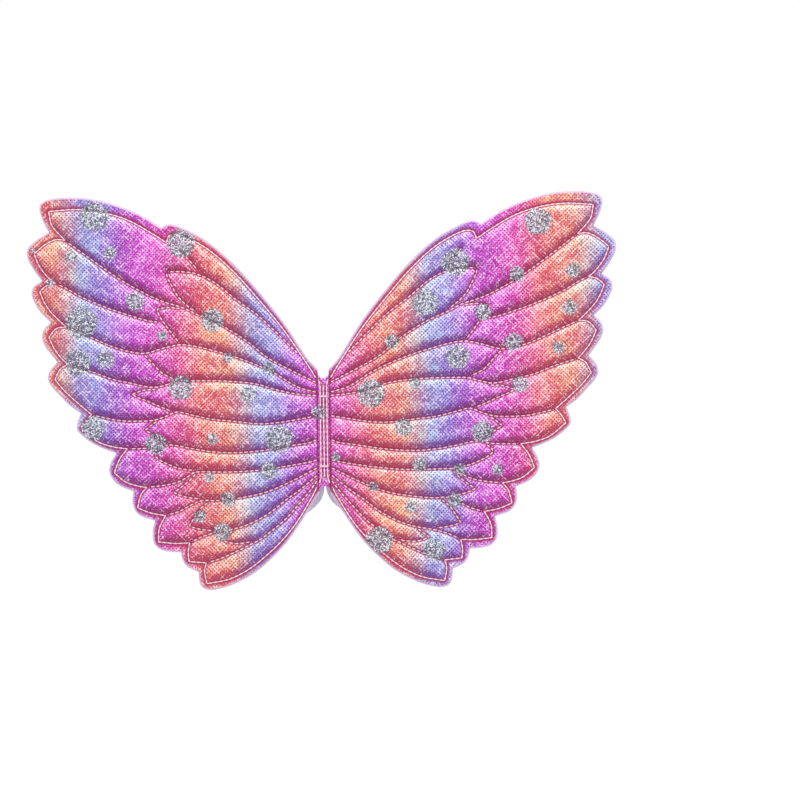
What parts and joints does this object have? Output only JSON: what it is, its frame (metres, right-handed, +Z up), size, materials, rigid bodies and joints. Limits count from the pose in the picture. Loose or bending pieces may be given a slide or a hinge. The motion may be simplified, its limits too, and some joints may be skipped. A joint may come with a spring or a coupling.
{
  "type": "fairy wings",
  "caption": "Child's costume fairy wings: two quilted foam wings with shimmering feather-shaped panels, hinged on a stitched spine, with elastic shoulder straps.",
  "frame": {"origin": "centre of the flat felt pad on the back of the spine, where the wings rest against the wearer's back", "axes": "+Z up along the spine, +Y out of the back face towards the wearer, -Y out of the decorated face, +X towards the right wing as seen from the decorated face"},
  "size_m": [0.458, 0.0899, 0.3071],
  "materials": {
    "foil_fabric": "shimmering foil-printed fabric in soft rainbow bands, satin sheen",
    "sponge": "matte open-cell sponge foam",
    "felt_backing": "matte pale felt",
    "quilting_thread": "satin polyester thread",
    "elastic": "matte woven elastic"
  },
  "bodies": {
    "spine": {"bar_tack_lower": "quilting_thread", "bar_tack_upper": "quilting_thread", "spine_backing": "felt_backing", "spine_core": "sponge", "spine_front_fabric": "foil_fabric", "spine_seam_centre": "quilting_thread", "spine_seam_left": "quilting_thread", "spine_seam_right": "quilting_thread"},
    "left_wing": {"left_outline_seam": "quilting_thread", "left_panel_tip_1_seam": "quilting_thread", "left_panel_tip_2_seam": "quilting_thread", "left_panel_tip_3_seam": "quilting_thread", "left_panel_tip_4_seam": "quilting_thread", "left_panel_tip_5_seam": "quilting_thread", "left_panel_tip_6_seam": "quilting_thread", "left_panel_tip_7_seam": "quilting_thread", "left_panel_tip_8_seam": "quilting_thread", "left_panel_tip_9_seam": "quilting_thread", "left_shoulder_seam": "quilting_thread", "left_vein_01_seam": "quilting_thread", "left_vein_02_seam": "quilting_thread", "left_vein_03_seam": "quilting_thread", "left_vein_04_seam": "quilting_thread", "left_vein_05_seam": "quilting_thread", "left_vein_06_seam": "quilting_thread", "left_vein_07_seam": "quilting_thread", "left_vein_08_seam": "quilting_thread", "left_vein_09_seam": "quilting_thread", "left_vein_10_seam": "quilting_thread", "left_vein_11_seam": "quilting_thread", "left_wing_backing": "felt_backing", "left_wing_foam_core": "sponge", "left_wing_front_fabric": "foil_fabric"},
    "right_wing": {"right_outline_seam": "quilting_thread", "right_panel_tip_1_seam": "quilting_thread", "right_panel_tip_2_seam": "quilting_thread", "right_panel_tip_3_seam": "quilting_thread", "right_panel_tip_4_seam": "quilting_thread", "right_panel_tip_5_seam": "quilting_thread", "right_panel_tip_6_seam": "quilting_thread", "right_panel_tip_7_seam": "quilting_thread", "right_panel_tip_8_seam": "quilting_thread", "right_panel_tip_9_seam": "quilting_thread", "right_shoulder_seam": "quilting_thread", "right_vein_01_seam": "quilting_thread", "right_vein_02_seam": "quilting_thread", "right_vein_03_seam": "quilting_thread", "right_vein_04_seam": "quilting_thread", "right_vein_05_seam": "quilting_thread", "right_vein_06_seam": "quilting_thread", "right_vein_07_seam": "quilting_thread", "right_vein_08_seam": "quilting_thread", "right_vein_09_seam": "quilting_thread", "right_vein_10_seam": "quilting_thread", "right_vein_11_seam": "quilting_thread", "right_wing_backing": "felt_backing", "right_wing_foam_core": "sponge", "right_wing_front_fabric": "foil_fabric"},
    "left_strap": {"left_elastic_strap": "elastic"},
    "right_strap": {"right_elastic_strap": "elastic"}
  },
  "joints": [
    {"name": "left_wing_fold", "type": "hinge", "parent": "spine", "child": "left_wing", "pos_m": [-0.00465, -0.0057, 0], "axis": [0, 0, 1], "range_deg": [-10, 75], "stiffness_Nm_per_rad": 0.02},
    {"name": "right_wing_fold", "type": "hinge", "parent": "spine", "child": "right_wing", "pos_m": [0.00465, -0.0057, 0], "axis": [0, 0, -1], "range_deg": [-10, 75], "stiffness_Nm_per_rad": 0.02},
    {"name": "left_strap_swing", "type": "hinge", "parent": "spine", "child": "left_strap", "pos_m": [-0.0033, -0.0009, 0], "axis": [0, 0, 1], "range_deg": [-3, 15], "stiffness_Nm_per_rad": 0.001},
    {"name": "right_strap_swing", "type": "hinge", "parent": "spine", "child": "right_strap", "pos_m": [0.0033, -0.0009, 0], "axis": [0, 0, -1], "range_deg": [-3, 15], "stiffness_Nm_per_rad": 0.001}
  ]
}
